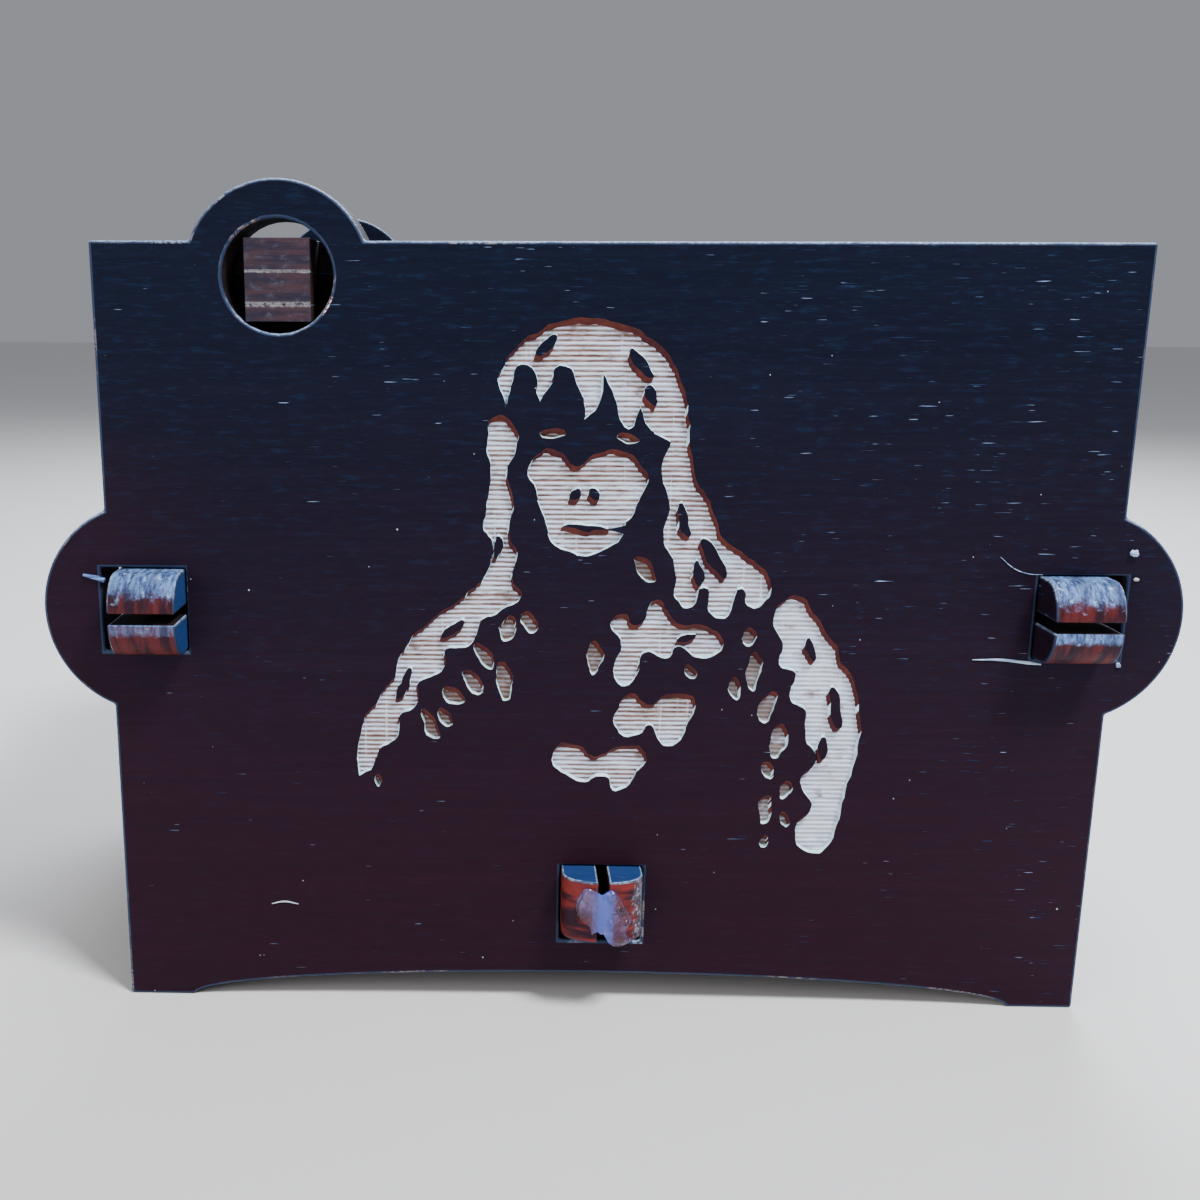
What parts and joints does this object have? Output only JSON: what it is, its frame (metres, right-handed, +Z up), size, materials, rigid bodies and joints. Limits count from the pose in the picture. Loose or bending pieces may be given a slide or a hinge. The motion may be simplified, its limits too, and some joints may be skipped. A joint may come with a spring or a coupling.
{
  "type": "wooden puzzle box",
  "caption": "Laser-cut plywood puzzle box with an engraved front, snap-tenon panels and a see-saw lid on pegs in round ears, locked by hidden sliding pins.",
  "frame": {"origin": "middle of the box in plan, at the level that its feet stand on", "axes": "+X to the right along the front plate, +Y from the front plate to the rear plate, +Z up"},
  "size_m": [0.0848, 0.053, 0.0628],
  "materials": {
    "stained_front": "black-stained plywood, satin, laser-engraved",
    "stained_plate": "black-stained plywood, satin",
    "stained_panel": "black-stained plywood with browned laser-cut ends",
    "stained_lid": "black-stained plywood laminate",
    "bare_wood": "bare birch ply, browned at the cuts",
    "glue": "dried milky glue",
    "steel": "plain steel rod"
  },
  "bodies": {
    "case": {"front_plate": "stained_front", "rear_plate": "stained_plate", "left_side": "stained_panel", "right_side": "stained_panel", "bottom_panel": "stained_panel", "glue_dab": "glue", "lid_ledge": "bare_wood"},
    "lid": {"lid_top_layer": "stained_lid", "lid_core_layer": "bare_wood", "lid_bottom_layer": "stained_lid"},
    "front_pin": {"lock_pin_front": "steel"},
    "rear_pin": {"lock_pin_rear": "steel"}
  },
  "joints": [
    {"name": "lid_hinge", "type": "hinge", "parent": "case", "child": "lid", "pos_m": [-0.0241, 0, 0.05615], "axis": [0, -1, 0], "range_deg": [0, 140]},
    {"name": "front_pin_slide", "type": "slide", "parent": "lid", "child": "front_pin", "axis": [1, 0, 0], "range_m": [0, 0.0027]},
    {"name": "rear_pin_slide", "type": "slide", "parent": "lid", "child": "rear_pin", "axis": [1, 0, 0], "range_m": [0, 0.0027]}
  ]
}
